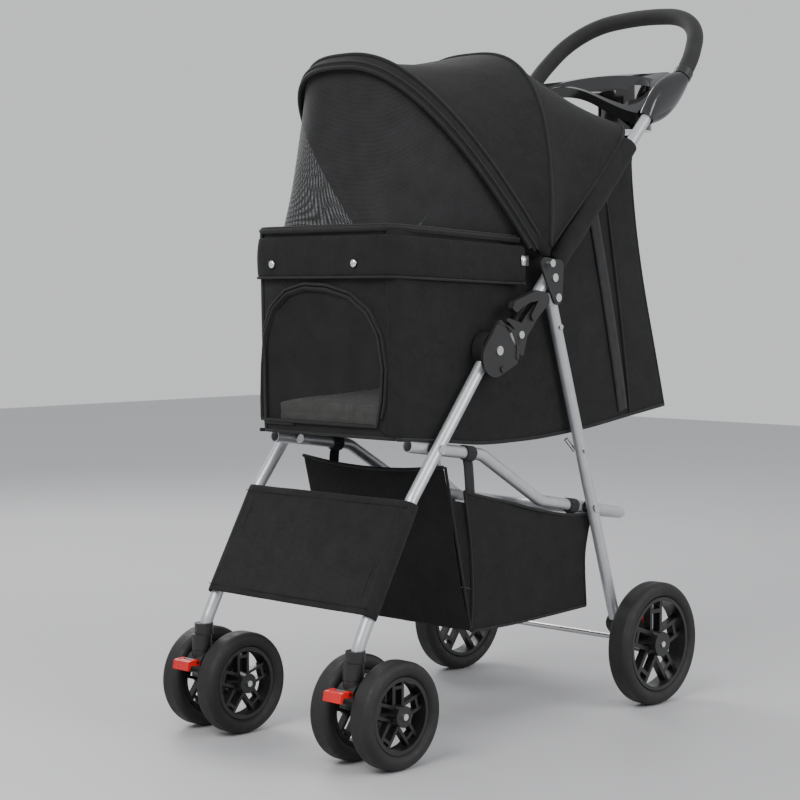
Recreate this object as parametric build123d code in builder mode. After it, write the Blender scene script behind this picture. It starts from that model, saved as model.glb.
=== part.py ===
"""Folding four-wheel pet stroller: steel tube frame, soft cabin with hood, lower basket, parent tray.

Frame: +X is the stroller's left side, it faces -Y, +Z is up. The origin is on the floor under the
middle of the whole stroller. Side-view points are pairs: distance behind the front axle, height.
"""

import os
from math import cos, radians, sin

from build123d import *

os.makedirs("parts", exist_ok=True)

# ---- driving dimensions, mm -------------------------------------------------------------------
front_axle_y = -332.5
tube_r = 8.0
tube_wall = 1.2
tube_x = 139.0  # middle plane of the legs and upper tubes
link_x = 121.0  # middle plane of the lower link's side tubes
pin_r = 3.0
running = 0.06  # radial clearance of a pin in its hole

# side-view points: (behind the front axle, height)
caster_end = (-36.0, 124.0)
leg_low_bend = (-27.0, 150.0)
leg_high_bend = (64.0, 317.0)
latch_pivot = (209.0, 498.0)
leg_top = (211.5, 501.1)
link_pivot = (111.8, 377.0)
leg_hinge = (332.0, 565.0)
open_pivot = (424.0, 278.0)
bow_pivot = (310.0, 610.0)
tube_bottom = (238.5, 502.6)
tube_top = (552.0, 824.4)
latch_rivet = (253.0, 517.4)
bracket_rivet = (325.0, 591.3)
rear_leg_foot = (483.0, 103.0)
front_axle = (0.0, 66.0)
rear_axle = (510.0, 85.0)
handle_base = (620.0, 873.0)

front_wheel_r = 66.0
front_wheel_w = 32.0
front_wheel_gap = 34.0  # from the caster's middle plane to each wheel's middle plane
rear_wheel_r = 85.0
rear_wheel_w = 34.0
rear_wheel_x = 181.0
caster_stem_back = -37.0
lock_pivot = (-57.0, 96.5)
lock_lever = [(-63.0, 100.0), (-72.0, 99.0), (-74.0, 88.0), (-70.5, 87.5), (-68.0, 94.5), (-63.0, 95.0)]

handle_half_width = 140.0
handle_rise = 152.0
handle_tilt = 41.4  # degrees back from vertical
grip_r = 12.0

hood_half_width = 142.0
front_bow_tilt = -44.0  # degrees back from vertical, so negative leans forward
front_bow_rise = 343.0
middle_bow_tilt = 2.5
middle_bow_rise = 278.0
rear_edge_tilt = 45.5
rear_edge_rise = 290.0
fabric = 1.6

cabin_half_width = 124.0
cabin_wall = 2.5
basket_half_width = 124.0
basket_wall = 2.0

cup_r = 36.0
cup_wall = 2.5
cup_depth = 62.0
cup_seat = 24.0
cup_x = 80.0
cup_back = 572.0
tray_top = 866.0


# ---- helpers ----------------------------------------------------------------------------------
def at(point):
    """Side-view point as (y, z)."""
    return (front_axle_y + point[0], point[1])


def side_plane(x):
    """Plane at one x, with y across and z up."""
    return Plane.YZ.offset(x)


def save(piece, name):
    """Label a finished piece and write it."""
    piece.label = name
    export_step(piece, f"parts/{name}.step")


def towards(start, end, distance):
    """Side-view point a distance from start towards end."""
    run, rise = end[0] - start[0], end[1] - start[1]
    length = (run * run + rise * rise) ** 0.5
    return (start[0] + run * distance / length, start[1] + rise * distance / length)


def along(x, start, end):
    """Plane square to a side-view line, centred on its start."""
    return Plane(origin=(x, *at(start)), x_dir=(1, 0, 0), z_dir=(0, end[0] - start[0], end[1] - start[1]))


def tube(points, x, bend_r, holes=()):
    """Bent steel tube in one side plane, drilled across at each hole."""
    with BuildPart() as bent_tube:
        with BuildLine(side_plane(x)) as route:
            if len(points) == 2:
                Line(at(points[0]), at(points[1]))
            else:
                FilletPolyline(*[at(p) for p in points], radius=bend_r)
        start = route.line @ 0
        with BuildSketch(Plane(origin=start, x_dir=(1, 0, 0), z_dir=route.line % 0)):
            Circle(tube_r)
            Circle(tube_r - tube_wall, mode=Mode.SUBTRACT)
        sweep(path=route.line)
        for hole in holes:
            y, z = at(hole)
            with Locations(Location((x, y, z), (0, 90, 0))):
                Cylinder(pin_r + running, 3 * tube_r, mode=Mode.SUBTRACT)
    return bent_tube.part


def pins(stations, radius=pin_r):
    """Pins across the stroller, each with heads: (point, x from, x to, head radius, head height)."""
    with BuildPart() as pin_group:
        for point, x_from, x_to, head_r, head in stations:
            for side in (1, -1):
                with BuildSketch(side_plane(side * x_from)):
                    with Locations(at(point)):
                        Circle(radius)
                extrude(amount=side * (x_to - x_from))
                with BuildSketch(side_plane(side * x_to)):
                    with Locations(at(point)):
                        Circle(head_r)
                extrude(amount=side * head)
    return pin_group.part


def fan_plane(point, tilt):
    """Plane through a cross axis, x across and local y leaning back from vertical by tilt degrees."""
    y, z = at(point)
    t = radians(tilt)
    return Plane(origin=(0, y, z), x_dir=(1, 0, 0), z_dir=(0, -cos(t), sin(t)))


def arch_points(half, rise, square):
    """Control corners of one arch, from its right foot over the top; square is 0 round to 1 boxy."""
    knee = rise * (0.50 + 0.22 * square)
    shoulder_x = half * (0.70 + 0.22 * square)
    shoulder_y = rise * (0.93 + 0.06 * square)
    left_side = [(half * 0.99, knee), (shoulder_x, shoulder_y)]
    right_side = [(-shoulder_x, shoulder_y), (-half * 0.99, knee)]
    return [*left_side, (0, rise * 1.008), *right_side]


def arch_outline(half, rise, base, square):
    """Closed arch profile that stands on a straight base line."""
    corners = arch_points(half, rise, square)
    scale = min(half, rise)
    radii = [0.9 * scale, 0.42 * scale, 0.6 * scale, 0.42 * scale, 0.9 * scale]
    with BuildSketch() as outline:
        with BuildLine():
            FilletPolyline((half, base), *corners, (-half, base), radius=radii)
            Line((-half, base), (half, base))
        make_face()
    return outline.sketch


def hood_panel(point, sections):
    """Thin fabric panel between two arches in planes of one fan, open at its foot and both ends."""
    with BuildPart() as panel:
        for tilt, half, rise, base, square in sections:
            with BuildSketch(fan_plane(point, tilt)):
                add(arch_outline(half, rise, base, square))
        loft(ruled=True)
        for tilt, half, rise, base, square in sections:
            with BuildSketch(fan_plane(point, tilt)):
                add(arch_outline(half - fabric, rise - fabric, base - 8, square))
        loft(ruled=True, mode=Mode.SUBTRACT)
    return panel.part


def hood_bow(point, tilt, half, rise, rod_r, eye_x):
    """Round rod bent to one arch of the hood, with a flattened eye each side on the pivot pin."""
    with BuildPart() as bow:
        with BuildLine(fan_plane(point, tilt)) as route:
            corners = arch_points(half, rise, 0)
            scale = min(half, rise)
            radii = [12, 12, 0.9 * scale, 0.42 * scale, 0.6 * scale, 0.42 * scale, 0.9 * scale, 12, 12]
            left_foot = [(eye_x, 5.5), (eye_x, 16), (half, 48)]
            right_foot = [(-half, 48), (-eye_x, 16), (-eye_x, 5.5)]
            FilletPolyline(*left_foot, *corners, *right_foot, radius=radii)
        with BuildSketch(Plane(origin=route.line @ 0, z_dir=route.line % 0)):
            Circle(rod_r)
        sweep(path=route.line)
        for side in (1, -1):
            with BuildSketch(side_plane(side * (eye_x - 1.6))):
                with Locations(at(point)):
                    Circle(6.6)
            extrude(amount=side * 3.2)
            with BuildSketch(side_plane(side * (eye_x - 4))):
                with Locations(at(point)):
                    Circle(pin_r + running)
            extrude(amount=side * 8, mode=Mode.SUBTRACT)
    return bow.part


def axle_plane(x, point):
    """Plane that holds a wheel's axis: local x along the axle, local y straight up."""
    y, z = at(point)
    return Plane(origin=(x, y, z), x_dir=(1, 0, 0), z_dir=(0, -1, 0))


def wheel_axis(point):
    """Axis of a wheel, along x."""
    y, z = at(point)
    return Axis((0, y, z), (1, 0, 0))


def tyre(x, point, outer, inner, width):
    """Solid rubber tyre with rounded shoulders."""
    with BuildPart() as ring:
        with BuildSketch(axle_plane(x, point)):
            with Locations((0, (outer + inner) / 2)):
                RectangleRounded(width, outer - inner, min(0.28 * width, 0.46 * (outer - inner)))
        revolve(axis=wheel_axis(point))
    return ring.part


def rim(x, point, outer, width, hub_r, hub_w, axle_r):
    """Five-arm plastic wheel: each arm is a pair of ribs, around a hub with a domed cap."""
    rib = 0.085 * outer
    spread = 0.17 * outer
    with BuildPart() as wheel:
        with BuildSketch(axle_plane(x, point)):
            with Locations((0, outer - 2.5)):
                Rectangle(width, 5.0)
            with Locations((0, (hub_r + axle_r + running) / 2)):
                Rectangle(hub_w, hub_r - axle_r - running)
        revolve(axis=wheel_axis(point))
        y, z = at(point)
        with BuildSketch(Plane(origin=(x - 0.22 * width, y, z), x_dir=(0, 1, 0), z_dir=(1, 0, 0))):
            with PolarLocations(0, 5, start_angle=90):
                for side in (1, -1):
                    with Locations(((hub_r + outer) / 2 - 4.2, side * spread)):
                        Rectangle(outer - hub_r + 1.5, rib)
                with Locations(((hub_r + outer) / 2 + 4, 0)):
                    Rectangle(rib, 2 * spread)
        extrude(amount=0.44 * width)
    return wheel.part


# ---- front frame: the body that stands on the casters -----------------------------------------
for name, side in (("left", 1), ("right", -1)):
    leg_route = [leg_top, leg_high_bend, leg_low_bend, caster_end]
    front_leg = tube(leg_route, side * tube_x, [70, 45], [latch_pivot, link_pivot])
    save(front_leg, f"front_leg_{name}")

with BuildPart() as front_pins:
    add(pins([(link_pivot, 112.0, tube_x + tube_r, 6.0, 1.6)]))
    add(pins([(link_pivot, 112.0, 110.6, 6.0, -1.6), (latch_pivot, 131.6, 156.2, 6.0, 2.0)]))
save(front_pins.part, "front_frame_pins")

latch_split = 40.0  # radius about the latch pivot where the lower cover ends and the upper one starts
with BuildPart() as latch_lower_covers:
    lock_point = (216.0, 474.0)
    for side in (1, -1):
        with BuildSketch(side_plane(side * 151.8)):
            with Locations(at((203, 489))):
                Circle(25)
            with Locations(at((212, 532))):
                Circle(5)
            with Locations(at((248, 487))):
                Circle(5)
            make_hull()
            with Locations(at(latch_pivot)):
                Circle(latch_split, mode=Mode.INTERSECT)
                Circle(pin_r + running, mode=Mode.SUBTRACT)
        extrude(amount=side * 4.4)
        # raised rib along the edge that meets the upper cover
        with BuildSketch(side_plane(side * 156.2)):
            with Locations(at((212, 530))):
                Circle(4.5)
            with Locations(at((247, 489))):
                Circle(4.5)
            with Locations(at((236, 518))):
                Circle(6)
            make_hull()
            with Locations(at(latch_pivot)):
                Circle(latch_split - 0.8, mode=Mode.INTERSECT)
                Circle(33.5, mode=Mode.SUBTRACT)
        extrude(amount=side * 1.2)
        # drum around the top of the leg, and the block that holds the two halves together
        with BuildSketch(side_plane(side * 131.5)):
            with Locations(at(latch_pivot)):
                Circle(24.3)
        extrude(amount=side * 17.7)
        with BuildSketch(side_plane(side * 131.5)):
            with Locations(at(lock_point)):
                Circle(8.5)
        extrude(amount=side * 20.3)
        with BuildSketch(side_plane(side * 131.5)):
            with Locations(at(latch_pivot)):
                Circle(pin_r + running)
        extrude(amount=side * 17.7, mode=Mode.SUBTRACT)
        with BuildSketch(along(side * tube_x, leg_top, leg_high_bend)):
            Circle(tube_r + running)
        extrude(amount=60, mode=Mode.SUBTRACT)
        with BuildSketch(side_plane(side * 156.2)):
            with Locations(at(lock_point)):
                Circle(4.5)
        extrude(amount=side * 1.8)
save(latch_lower_covers.part, "latch_lower_covers")

with BuildPart() as caster_sockets:
    for side in (1, -1):
        stem_y = front_axle_y + caster_stem_back
        with BuildSketch(Plane.XY.offset(110)):
            with Locations((side * tube_x, stem_y)):
                Circle(13)
        extrude(amount=20)
        with BuildSketch(Plane.XY.offset(130)):
            with Locations((side * tube_x, stem_y + 3.5)):
                Circle(12.2)
        extrude(amount=14)
        with BuildSketch(along(side * tube_x, caster_end, leg_low_bend)):
            Circle(tube_r + running)
        extrude(amount=40, mode=Mode.SUBTRACT)
        with Locations((side * tube_x, stem_y, 115)):
            Cylinder(5.0 + running, 12, mode=Mode.SUBTRACT)
save(caster_sockets.part, "caster_sockets")

footrest_top = towards(leg_high_bend, leg_low_bend, 9.0)
footrest_bottom = towards(leg_high_bend, leg_low_bend, 158.0)
with BuildPart() as footrest_panel:
    with BuildSketch(along(0, footrest_top, footrest_bottom)):
        for side in (1, -1):
            with Locations((side * tube_x, 0)):
                Circle(tube_r + 2.2)
        with Locations((0, tube_r + 1.3)):
            Rectangle(2 * tube_x, 1.8)
        for side in (1, -1):
            with Locations((side * tube_x, 0)):
                Circle(tube_r + 0.5, mode=Mode.SUBTRACT)
    extrude(amount=149)
save(footrest_panel.part, "footrest_panel")

# ---- upper frame: tubes, handle, tray, side brackets ------------------------------------------
for name, side in (("left", 1), ("right", -1)):
    upper_tube = tube([tube_bottom, tube_top], side * tube_x, [], [latch_rivet, bracket_rivet])
    save(upper_tube, f"upper_tube_{name}")

with BuildPart() as hinge_plates:
    for side in (1, -1):
        with BuildSketch(side_plane(side * 149.5)):
            with Locations(at(latch_pivot)):
                Circle(9)
            with Locations(at(latch_rivet)):
                Circle(9)
            make_hull()
            with Locations(at(latch_pivot), at(latch_rivet)):
                Circle(pin_r + running, mode=Mode.SUBTRACT)
        extrude(amount=side * 2.0)
save(hinge_plates.part, "hinge_plates")

shell_low = towards(tube_bottom, tube_top, 3.0)
shell_high = towards(tube_bottom, tube_top, 88.0)
shell_block = towards(tube_bottom, tube_top, 46.0)
with BuildPart() as latch_upper_covers:
    for side in (1, -1):
        sleeve = along(side * tube_x, shell_low, shell_high)
        with BuildSketch(sleeve):
            Circle(tube_r + 1.8)
        extrude(amount=85)
        with BuildSketch(side_plane(side * 145.0)):
            with Locations(at(shell_block)):
                Circle(10.3)
            with Locations(at(towards(tube_bottom, tube_top, 64.0))):
                Circle(9)
            make_hull()
        extrude(amount=side * 10.4)
        with BuildSketch(side_plane(side * 151.8)):
            with Locations(at(shell_block), at((257, 521))):
                Circle(10.3)
            make_hull()
        extrude(amount=side * 3.6)
        with BuildSketch(side_plane(side * 151.8)):
            with Locations(at((257, 521))):
                Circle(10.3)
            with Locations(at((229, 535)), at((255, 494))):
                Circle(4)
            make_hull()
            with Locations(at(latch_pivot)):
                Circle(latch_split + 0.9, mode=Mode.SUBTRACT)
        extrude(amount=side * 3.6)
        with BuildSketch(sleeve):
            Circle(tube_r + running)
        extrude(amount=85, mode=Mode.SUBTRACT)
        rivet_y, rivet_z = at(latch_rivet)
        with Locations(Location((side * tube_x, rivet_y, rivet_z), (0, 90, 0))):
            Cylinder(pin_r + running, 60, mode=Mode.SUBTRACT)
save(latch_upper_covers.part, "latch_upper_covers")

with BuildPart() as side_brackets:
    for side in (1, -1):
        with BuildSketch(side_plane(side * 149.4)):
            with Locations(at((306, 609))):
                Circle(9)
            with Locations(at((335, 606))):
                Circle(9)
            with Locations(at(leg_hinge)):
                Circle(9.5)
            make_hull()
            with Locations(at(bow_pivot), at(bracket_rivet), at(leg_hinge)):
                Circle(pin_r + running, mode=Mode.SUBTRACT)
        extrude(amount=side * 3.0)
save(side_brackets.part, "side_brackets")

with BuildPart() as upper_frame_rivets:
    add(pins([(latch_rivet, 130.4, 155.4, 5.0, 1.8), (bracket_rivet, 131.6, 152.4, 5.5, 2.0)]))
    add(pins([(leg_hinge, 131.6, 152.4, 5.5, 2.0), (bow_pivot, 149.4, 160.2, 5.0, 1.8)]))
save(upper_frame_rivets.part, "upper_frame_rivets")

handle_plane = fan_plane(handle_base, handle_tilt)
handle_corners = [(-140, 42), (-113, 138), (0, 152), (113, 138), (140, 42)]
handle_radii = [150, 96, 330, 96, 150]
with BuildPart() as handle_bow:
    with BuildLine(handle_plane) as handle_route:
        FilletPolyline((-140, -34), *handle_corners, (140, -34), radius=handle_radii)
    with BuildSketch(Plane(origin=handle_route.line @ 0, z_dir=handle_route.line % 0)):
        Circle(tube_r)
        Circle(tube_r - tube_wall, mode=Mode.SUBTRACT)
    sweep(path=handle_route.line)
save(handle_bow.part, "handle_bow")

with BuildPart() as handle_grip:
    with BuildLine(handle_plane) as grip_route:
        FilletPolyline((-140, 19), *handle_corners, (140, 19), radius=handle_radii)
    with BuildSketch(Plane(origin=grip_route.line @ 0, z_dir=grip_route.line % 0)):
        Circle(grip_r)
        Circle(tube_r + running, mode=Mode.SUBTRACT)
    sweep(path=grip_route.line)
save(handle_grip.part, "handle_grip")

with BuildPart() as handle_collars:
    collar_plane = Plane(origin=handle_plane.origin, x_dir=(1, 0, 0), z_dir=handle_plane.y_dir)
    with BuildSketch(collar_plane.offset(6)):
        for side in (1, -1):
            with Locations((side * handle_half_width, 0)):
                Circle(13.6)
                Circle(tube_r + running, mode=Mode.SUBTRACT)
    extrude(amount=12.6)
save(handle_collars.part, "handle_collars")

# tray: a shell that dips at its front corners, with a dish, two cup wells, and an arm each side that
# joins the tube to the handle; each section lists its side-view corners
tray_shell = [
    (0, (518, 866), (519, 851), (548, 854), (588, 861), (613, 868), (622, 891)),
    (45, (518, 858), (519, 845), (548, 849), (587, 857), (612, 865), (622, 890)),
    (80, (520, 843), (521, 829), (550, 835), (586, 846), (609, 856), (622, 888)),
    (110, (525, 829), (528, 813), (554, 818), (592, 836), (610, 854), (624, 888)),
    (131, (532, 822), (539, 803), (563, 812), (594, 836), (608, 856), (614, 880)),
]
tray_dish = [
    (0, (523, 910), (524, 858), (610, 871), (618, 910)),
    (45, (523, 910), (524, 851), (608, 868), (618, 910)),
    (80, (525, 910), (527, 836), (603, 857), (617, 910)),
    (107, (531, 910), (534, 829), (596, 849), (612, 910)),
]


def both_sides(sections):
    """Sections given from the middle outward, mirrored so that they run right across."""
    mirrored = [(-x, *corners) for x, *corners in reversed(sections[1:])]
    return mirrored + sections


with BuildPart() as parent_tray:
    for x, *corners in both_sides(tray_shell):
        with BuildSketch(side_plane(x)):
            with BuildLine():
                Polyline(*[at(p) for p in corners], close=True)
            make_face()
    loft()
    cups = [(side * cup_x, front_axle_y + cup_back) for side in (1, -1)]
    with BuildSketch(Plane.XY.offset(tray_top - cup_depth - cup_wall)):
        with Locations(*cups):
            Circle(cup_r + cup_wall)
    extrude(amount=cup_depth)
    for x, *corners in both_sides(tray_dish):
        with BuildSketch(side_plane(x)):
            with BuildLine():
                Polyline(*[at(p) for p in corners], close=True)
            make_face()
    loft(mode=Mode.SUBTRACT)
    with BuildSketch(Plane.XY.offset(tray_top - cup_depth)):
        with Locations(*cups):
            Circle(cup_r)
    extrude(amount=cup_seat, mode=Mode.SUBTRACT)
    with BuildSketch(Plane.XY.offset(tray_top - cup_depth + cup_seat)):
        with Locations(*cups):
            Circle(cup_r + 1.0)
    extrude(amount=2 * cup_depth, mode=Mode.SUBTRACT)
    socket_start = towards(tube_top, tube_bottom, 14.0)
    start_y, start_z = at(socket_start)
    middle_y, middle_z = at((584, 846))
    end_y, end_z = at((622.9, 876.3))
    tube_y, tube_z = at(tube_top)
    along_tube = (0, tube_top[0] - tube_bottom[0], tube_top[1] - tube_bottom[1])
    for side in (1, -1):
        arm_x = side * tube_x
        with BuildSketch(Plane(origin=(arm_x, start_y, start_z), x_dir=(1, 0, 0), z_dir=along_tube)):
            Circle(11)
        with BuildSketch(Plane(origin=(arm_x, middle_y, middle_z), x_dir=(1, 0, 0), z_dir=along_tube)):
            Ellipse(12.5, 25)
        with BuildSketch(Plane(origin=(arm_x, end_y, end_z), x_dir=(1, 0, 0), z_dir=handle_plane.y_dir)):
            Circle(14)
        loft()
        with BuildSketch(Plane(origin=(arm_x, tube_y, tube_z), x_dir=(1, 0, 0), z_dir=along_tube)):
            Circle(tube_r + running)
        extrude(amount=-60, mode=Mode.SUBTRACT)
    with BuildSketch(collar_plane.offset(-34)):
        for side in (1, -1):
            with Locations((side * handle_half_width, 0)):
                Circle(tube_r + running)
    extrude(amount=60, mode=Mode.SUBTRACT)
save(parent_tray.part, "parent_tray")

# ---- latch triggers: a finger hook each side that slides up the tube ---------------------------
trigger_low = towards(tube_bottom, tube_top, 54.0)
trigger_root = towards(tube_bottom, tube_top, 84.0)
for name, side in (("left", 1), ("right", -1)):
    with BuildPart() as latch_trigger:
        with BuildSketch(side_plane(side * 155.8)):
            with Locations(at(trigger_low)):
                Circle(6)
            with Locations(at(trigger_root)):
                Circle(9.5)
            make_hull()
        extrude(amount=side * 3.2)
        with BuildSketch(side_plane(side * 149.6)):
            with BuildLine():
                FilletPolyline(
                    at((297, 573)), at((281, 575)), at((256, 567)), at((237, 561)), at((232, 551)), at((241, 546)),
                    at((252, 553)), at((267, 559)), at((283, 561)), at((292, 560)), radius=[8, 14, 4, 3, 3, 5, 9, 4],
                )
                Line(at((292, 560)), at((297, 573)))
            make_face()
        extrude(amount=side * 9.4)
    save(latch_trigger.part, f"latch_trigger_{name}")

# ---- rear frame: legs, axle, brakes ------------------------------------------------------------
rear_leg_top = towards(leg_hinge, open_pivot, -9.0)
for name, side in (("left", 1), ("right", -1)):
    rear_leg = tube([rear_leg_top, rear_leg_foot], side * tube_x, [], [leg_hinge, open_pivot])
    save(rear_leg, f"rear_leg_{name}")

with BuildPart() as rear_frame_pins:
    add(pins([(open_pivot, 131.2, tube_x + tube_r, 6.0, 2.0)]))
save(rear_frame_pins.part, "rear_frame_pins")

with BuildPart() as rear_axle_rod:
    axle_y, axle_z = at(rear_axle)
    with BuildSketch(side_plane(-200)):
        with Locations((axle_y, axle_z)):
            Circle(4)
    extrude(amount=400)
save(rear_axle_rod.part, "rear_axle")

brake_pivot = (519.5, 112.0)
with BuildPart() as brake_housings:
    for side in (1, -1):
        with BuildSketch(side_plane(side * 130.5)):
            with Locations(at(rear_axle)):
                Circle(15)
            with Locations(at((481, 112))):
                Circle(12)
            with Locations(at((506, 112))):
                Circle(6)
            make_hull()
        extrude(amount=side * 31)
        with BuildSketch(side_plane(side * 130.5)):
            with Locations(at((506, 112))):
                Circle(6)
            with Locations(at(brake_pivot)):
                Circle(5)
            make_hull()
        extrude(amount=side * 5)
        with BuildSketch(side_plane(side * 133)):
            with Locations(at(brake_pivot)):
                Circle(2.5)
        extrude(amount=side * 28.5)
        with BuildSketch(along(side * tube_x, rear_leg_foot, leg_hinge)):
            Circle(tube_r + running)
        extrude(amount=60, mode=Mode.SUBTRACT)
        with BuildSketch(side_plane(side * 120)):
            with Locations(at(rear_axle)):
                Circle(4 + running)
        extrude(amount=side * 50, mode=Mode.SUBTRACT)
save(brake_housings.part, "brake_housings")

for name, side in (("left", 1), ("right", -1)):
    with BuildPart() as brake_pedal:
        with BuildSketch(side_plane(side * 136.5)):
            with Locations(at(brake_pivot)):
                Circle(5.5)
            with Locations(at((528, 126))):
                Circle(3)
            make_hull()
            with BuildLine():
                Polyline(at((526, 129)), at((555, 124)), at((554.4, 120)), at((526, 123)), close=True)
            make_face()
            with Locations(at(brake_pivot)):
                Circle(2.5 + running, mode=Mode.SUBTRACT)
        extrude(amount=side * 24)
    save(brake_pedal.part, f"brake_pedal_{name}")

# the bag's floor bar: only its two ends show, between the rear legs and the sleeve in the bag
with BuildPart() as floor_bar_ends:
    for side in (1, -1):
        with BuildLine() as bar_route:
            Line((side * 128.1, *at((400.4, 357))), (side * 121.5, *at((389, 373))))
        with BuildSketch(Plane(origin=bar_route.line @ 0, z_dir=bar_route.line % 0)):
            Circle(3)
        sweep(path=bar_route.line)
save(floor_bar_ends.part, "floor_bar_ends")

with BuildPart() as rear_leg_bolts:
    for place in (towards(leg_hinge, open_pivot, 41.0), towards(leg_hinge, open_pivot, 217.0)):
        for side in (1, -1):
            with BuildSketch(side_plane(side * (tube_x + tube_r - 0.6))):
                with Locations(at(place)):
                    Circle(3.6)
            extrude(amount=side * 2.6)
    for side in (1, -1):
        with BuildSketch(along(side * tube_x, rear_leg_foot, leg_hinge)):
            Circle(tube_r + 0.02)
        extrude(amount=600, mode=Mode.SUBTRACT)
save(rear_leg_bolts.part, "rear_leg_bolts")

# ---- lower link: U tube between the legs, with the basket under it -----------------------------
link_front = (76.0, 381.8)
link_bend_a = (214.0, 363.3)
link_bend_b = (334.0, 293.6)
link_corner = (541.0, 257.5)
with BuildPart() as link_tube:
    with BuildLine() as link_route:
        side_points = [link_front, link_bend_a, link_bend_b, link_corner]
        left_side = [(link_x, *at(p)) for p in side_points]
        right_side = [(-x, y, z) for x, y, z in reversed(left_side)]
        FilletPolyline(*left_side, *right_side, radius=[45, 45, 45, 45, 45, 45])
    with BuildSketch(Plane(origin=link_route.line @ 0, z_dir=link_route.line % 0)):
        Circle(tube_r)
        Circle(tube_r - tube_wall, mode=Mode.SUBTRACT)
    sweep(path=link_route.line)
    for side in (1, -1):
        hole_y, hole_z = at(link_pivot)
        with Locations(Location((side * link_x, hole_y, hole_z), (0, 90, 0))):
            Cylinder(pin_r + running, 3 * tube_r, mode=Mode.SUBTRACT)
save(link_tube.part, "link_tube")

with BuildPart() as link_spacers:
    for side in (1, -1):
        with BuildSketch(side_plane(side * 129.05)):
            with Locations(at(link_pivot), at(open_pivot)):
                Circle(8)
                Circle(pin_r + running, mode=Mode.SUBTRACT)
        extrude(amount=side * 1.6)
save(link_spacers.part, "link_spacers")

basket_front_top = (138.0, 347.0)
basket_front_low = (187.0, 138.0)
basket_rear_low = (430.0, 141.0)
basket_rear_top = (439.0, 262.0)
basket_rim = [(340.0, 278.0), (262.0, 296.0), (190.0, 316.0)]
basket_outline = [basket_front_top, basket_front_low, basket_rear_low, basket_rear_top, *basket_rim]
with BuildPart() as basket:
    with BuildSketch(side_plane(-basket_half_width)):
        with BuildLine():
            Polyline(*[at(p) for p in basket_outline], close=True)
        make_face()
    extrude(amount=2 * basket_half_width)
    with BuildSketch(side_plane(-basket_half_width + basket_wall)):
        with BuildLine():
            Polyline(
                at((basket_front_top[0] + 1.8, basket_front_top[1] + 12)),
                at((basket_front_low[0] + 2.4, basket_front_low[1] + 2.0)),
                at((basket_rear_low[0] - 2.2, basket_rear_low[1] + 2.0)),
                at((basket_rear_top[0] - 2.0, basket_rear_top[1] + 12)),
                *[at((p[0], p[1] + 12)) for p in basket_rim],
                close=True,
            )
        make_face()
    extrude(amount=2 * (basket_half_width - basket_wall), mode=Mode.SUBTRACT)
save(basket.part, "basket")

with BuildPart() as basket_straps:
    for side in (1, -1):
        for place, aim, drop in (((181.0, 367.7), link_bend_a, 46.0), ((392.0, 283.5), link_corner, 10.5)):
            base_y, base_z = at(place)
            with BuildSketch(along(side * link_x, place, aim)):
                Circle(tube_r + 1.6)
                Circle(tube_r + 0.3, mode=Mode.SUBTRACT)
            extrude(amount=18)
            with Locations((side * link_x, base_y + 9, base_z - tube_r - 3.4 - drop / 2)):
                Box(1.6, 18, drop)
save(basket_straps.part, "basket_straps")

# ---- cabin: floor board, mat, bag, front door, rim bar ----------------------------------------
floor_front, floor_back = (62.0, 396.0), (600.0, 414.0)
floor_run = floor_back[0] - floor_front[0]
with BuildPart() as floor_board:
    with BuildSketch(side_plane(-111)):
        with BuildLine():
            Polyline(
                at(floor_front), at(floor_back), at((floor_back[0], floor_back[1] + 3)),
                at((floor_front[0], floor_front[1] + 3)), close=True,
            )
        make_face()
    extrude(amount=222)
save(floor_board.part, "floor_board")

with BuildPart() as mat:
    with BuildSketch(side_plane(-111)):
        with BuildLine():
            Polyline(
                at((66, 399.6)), at((594, 417.2)), at((594, 451.0)), at((66, 435.0)), close=True,
            )
        make_face()
    extrude(amount=222)
save(mat.part, "mat")

cabin_outline = [
    (54, 392.0), (47, 651), (282, 638), (336, 606), (522, 780), (526, 714), (553, 603), (613, 411),
    (341, 379), (211, 377), (140, 385),
]
cabin_cavity = [
    (57.5, 395.2), (50.0, 672), (282, 660), (330, 640), (518, 812), (523, 714), (550, 603), (609.5, 413.2),
    (341, 382.5), (211, 380.5), (140, 388.5),
]
door_x = -11.0
door_half = 102.0
door_low, door_side, door_high = 22.0, 110.0, 186.0
cabin_corner_r = 10.0
front_wall_y, front_wall_z = at((54, 392))
wall_plane = Plane(origin=(0, front_wall_y, front_wall_z), x_dir=(1, 0, 0), z_dir=(0, -259, -7))


def door_outline(margin):
    """Arched doorway in the bag's front wall, grown by a margin."""
    left, right = door_x - door_half - margin, door_x + door_half + margin
    with BuildSketch() as outline:
        with BuildLine():
            Polyline((left, door_side), (left, door_low - margin), (right, door_low - margin))
            Line((right, door_low - margin), (right, door_side))
            ThreePointArc((right, door_side), (door_x, door_high + margin), (left, door_side))
        make_face()
    return outline.sketch


with BuildPart() as cabin_space:
    with BuildSketch(side_plane(-cabin_half_width + cabin_wall)):
        with BuildLine():
            Polyline(*[at(p) for p in cabin_cavity], close=True)
        make_face()
    extrude(amount=2 * (cabin_half_width - cabin_wall))
    space_corners = cabin_space.faces().sort_by(Axis.Y)[0].edges().filter_by(Axis.X, reverse=True)
    fillet(space_corners, cabin_corner_r - 2)

with BuildPart() as cabin_bag:
    with BuildSketch(side_plane(-cabin_half_width)):
        with BuildLine():
            Polyline(*[at(p) for p in cabin_outline], close=True)
        make_face()
    extrude(amount=2 * cabin_half_width)
    bag_corners = cabin_bag.faces().sort_by(Axis.Y)[0].edges().filter_by(Axis.X, reverse=True)
    fillet(bag_corners, cabin_corner_r)
    add(cabin_space.part, mode=Mode.SUBTRACT)
    with BuildSketch(wall_plane.offset(6)):
        add(door_outline(0))
    extrude(amount=-16, mode=Mode.SUBTRACT)
save(cabin_bag.part, "cabin_bag")

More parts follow.
